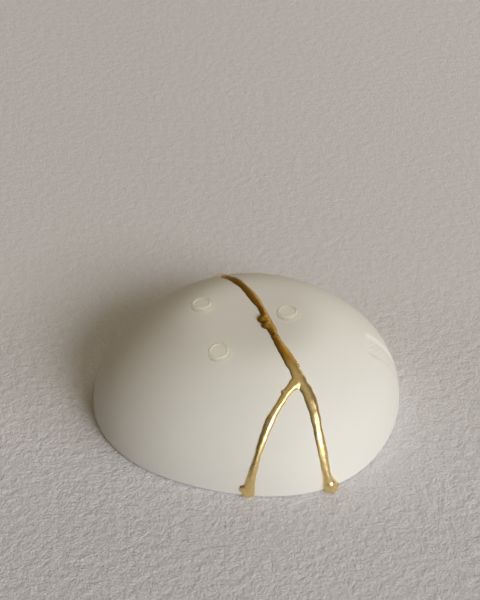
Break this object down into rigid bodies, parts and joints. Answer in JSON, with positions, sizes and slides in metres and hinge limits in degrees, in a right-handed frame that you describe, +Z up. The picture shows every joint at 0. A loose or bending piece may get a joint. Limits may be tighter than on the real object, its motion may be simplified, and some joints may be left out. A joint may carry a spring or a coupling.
{
  "type": "kintsugi bowl",
  "caption": "Small hand-formed porcelain bowl, broken and mended with a raised gold seam, set down upside down on its rim.",
  "frame": {"origin": "on the ground plane through the rim, under the centre of the bounding box", "axes": "+Z up out of the bowl's underside, the bowl lying upside down on its rim; -Y towards the two legs of the seam; +X to the right of them"},
  "size_m": [0.1128, 0.108, 0.04],
  "materials": {
    "porcelain": "satin",
    "gold": "polished",
    "clear_pad": "gloss"
  },
  "bodies": {
    "root": {"shard_left": "porcelain", "shard_right": "porcelain", "shard_front": "porcelain", "gold_seam": "gold", "foot_pad_left": "clear_pad", "foot_pad_right": "clear_pad", "foot_pad_front": "clear_pad"}
  },
  "joints": []
}
